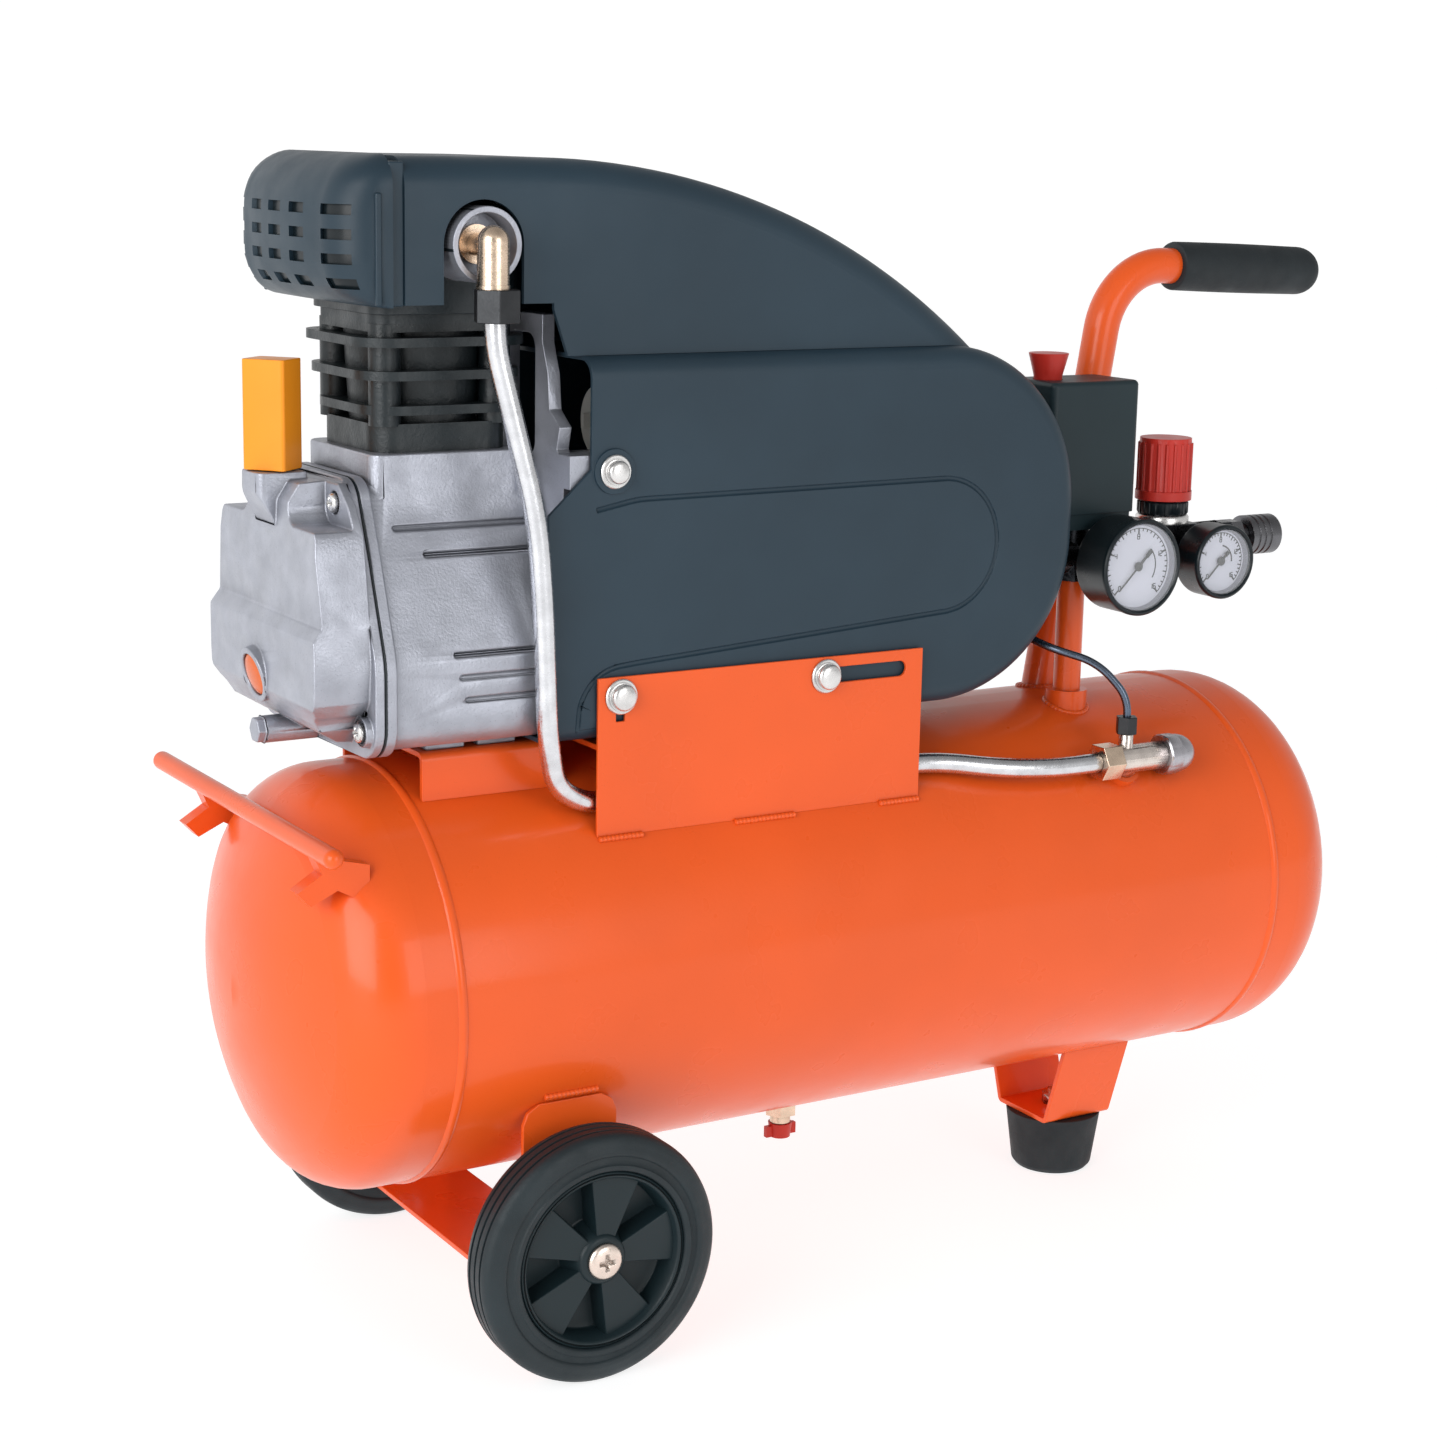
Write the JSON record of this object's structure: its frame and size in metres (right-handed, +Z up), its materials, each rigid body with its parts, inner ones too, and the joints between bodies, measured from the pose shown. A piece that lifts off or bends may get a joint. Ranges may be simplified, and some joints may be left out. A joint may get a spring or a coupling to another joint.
{
  "type": "portable air compressor",
  "caption": "Wheeled portable piston air compressor: horizontal tank, direct-driven single-cylinder pump under black covers, pressure switch, regulator, gauges and push handle.",
  "frame": {"origin": "on the floor, below the middle of the whole object's box", "axes": "+Z up; +X along the tank towards the handle; -Y towards the side with the outlet pipe"},
  "size_m": [0.72, 0.2854, 0.612],
  "materials": {
    "tank_paint": "orange gloss paint over rolled and welded steel",
    "rubber_black": "moulded black rubber and foam rubber",
    "tyre_black": "solid rubber tyre with three tread grooves",
    "wheel_plastic": "moulded black plastic",
    "zinc_fasteners": "zinc-plated steel",
    "cast_aluminium": "die-cast aluminium, silver painted on the crankcase",
    "sight_glass": "tinted sight glass over oil",
    "plug_orange": "orange moulded plastic",
    "gasket_grey": "pressed fibre gasket",
    "cylinder_iron": "black painted cast iron",
    "steel_parts": "machined steel, laminated core with enamelled copper end turns",
    "cover_plastic": "black moulded plastic with a fine grain",
    "fan_plastic": "black nylon",
    "capacitor_can": "pale plastic can",
    "brass": "machined pale brass",
    "drain_red": "brass screw with a red winged cap",
    "ring_steel": "bent steel wire",
    "black_steel": "blackened steel",
    "pipe_metal": "bent aluminium tube",
    "manifold_metal": "plated die-cast fittings",
    "knob_red": "red moulded plastic",
    "gauge_black": "black gauge case",
    "dial_white": "white printed dial",
    "gauge_glass": "clear window",
    "needle_black": "black painted pointer",
    "coupler_metal": "plated steel"
  },
  "bodies": {
    "frame": {"tank_shell": "tank_paint", "tank_ends": "tank_paint", "tank_ports": "tank_paint", "wheel_bracket": "tank_paint", "foot_bracket": "tank_paint", "carry_bar": "tank_paint", "handle_tube": "tank_paint", "saddles": "tank_paint", "rubber_foot": "rubber_black", "grip": "rubber_black", "chassis_bolts": "zinc_fasteners", "cover_bolts": "zinc_fasteners", "pump_bolts": "zinc_fasteners", "crankcase": "cast_aluminium", "crankcase_cover": "cast_aluminium", "head": "cast_aluminium", "motor_flange": "cast_aluminium", "end_bell": "cast_aluminium", "oil_sight_glass": "sight_glass", "gaskets": "gasket_grey", "cylinder": "cylinder_iron", "valve_plate": "steel_parts", "main_bearings": "steel_parts", "wound_stator": "steel_parts", "head_guard": "cover_plastic", "upper_shroud": "cover_plastic", "lower_cover": "cover_plastic", "switch_cover": "cover_plastic", "switch_base": "cover_plastic", "capacitor": "capacitor_can", "discharge_elbow": "brass", "check_valve": "brass", "drain_valve": "brass", "safety_valve": "brass", "black_nuts": "black_steel", "discharge_pipe": "pipe_metal", "unloader_pipe": "pipe_metal", "manifold": "manifold_metal", "regulator_body": "manifold_metal", "gauge_cases": "gauge_black", "gauge_dials": "dial_white", "gauge_glasses": "gauge_glass", "coupler_body": "coupler_metal"},
    "wheel_near": {"wheel_rim_near": "wheel_plastic", "tyre_near": "tyre_black"},
    "wheel_far": {"wheel_rim_far": "wheel_plastic", "tyre_far": "tyre_black"},
    "crank": {"crankshaft": "steel_parts", "fan": "fan_plastic"},
    "piston": {"piston": "cast_aluminium", "piston_pin_and_rings": "steel_parts", "connecting_rod": "cast_aluminium"},
    "switch_knob": {"switch_knob": "knob_red"},
    "regulator_knob": {"regulator_knob": "knob_red"},
    "drain_screw": {"drain_screw": "drain_red"},
    "safety_ring": {"safety_ring": "ring_steel"},
    "coupler_sleeve": {"coupler_sleeve": "coupler_metal"},
    "breather_plug": {"breather_plug": "plug_orange"},
    "needle_large": {"needle_large": "needle_black"},
    "needle_small": {"needle_small": "needle_black"}
  },
  "joints": [
    {"name": "near_wheel_spin", "type": "hinge", "parent": "frame", "child": "wheel_near", "pos_m": [-0.2174, -0.1257, 0.0665], "axis": [0, 1, 0], "continuous": true},
    {"name": "far_wheel_spin", "type": "hinge", "parent": "frame", "child": "wheel_far", "pos_m": [-0.2174, 0.1257, 0.0665], "axis": [0, 1, 0], "continuous": true},
    {"name": "crank_spin", "type": "hinge", "parent": "frame", "child": "crank", "pos_m": [-0.12, 0, 0.388], "axis": [1, 0, 0], "continuous": true},
    {"name": "piston_stroke", "type": "slide", "parent": "frame", "child": "piston", "axis": [0, 0, 1], "range_m": [-0.038, 0]},
    {"name": "switch_pull", "type": "slide", "parent": "frame", "child": "switch_knob", "axis": [0, 0, 1], "range_m": [0, 0.008]},
    {"name": "pressure_adjust", "type": "hinge", "parent": "frame", "child": "regulator_knob", "pos_m": [0.216, -0.028, 0.43], "axis": [0, 0, 1], "range_deg": [0, 1080]},
    {"name": "drain_turn", "type": "hinge", "parent": "frame", "child": "drain_screw", "pos_m": [-0.0247, 0, 0.06], "axis": [0, 0, -1], "range_deg": [0, 1080]},
    {"name": "relief_pull", "type": "slide", "parent": "frame", "child": "safety_ring", "axis": [0, 1, 0], "range_m": [0, 0.004], "stiffness_N_per_m": 400, "springref_m": -0.003},
    {"name": "coupler_retract", "type": "slide", "parent": "frame", "child": "coupler_sleeve", "axis": [-1, 0, 0], "range_m": [0, 0.004], "stiffness_N_per_m": 500, "springref_m": -0.003},
    {"name": "breather_lift", "type": "slide", "parent": "frame", "child": "breather_plug", "axis": [0, 0, 1], "range_m": [0, 0.025]},
    {"name": "tank_gauge_needle", "type": "hinge", "parent": "frame", "child": "needle_large", "pos_m": [0.1617, -0.0744, 0.3868], "axis": [0, 1, 0], "range_deg": [0, 270]},
    {"name": "line_gauge_needle", "type": "hinge", "parent": "frame", "child": "needle_small", "pos_m": [0.226, -0.0714, 0.3855], "axis": [0, 1, 0], "range_deg": [0, 270]}
  ]
}
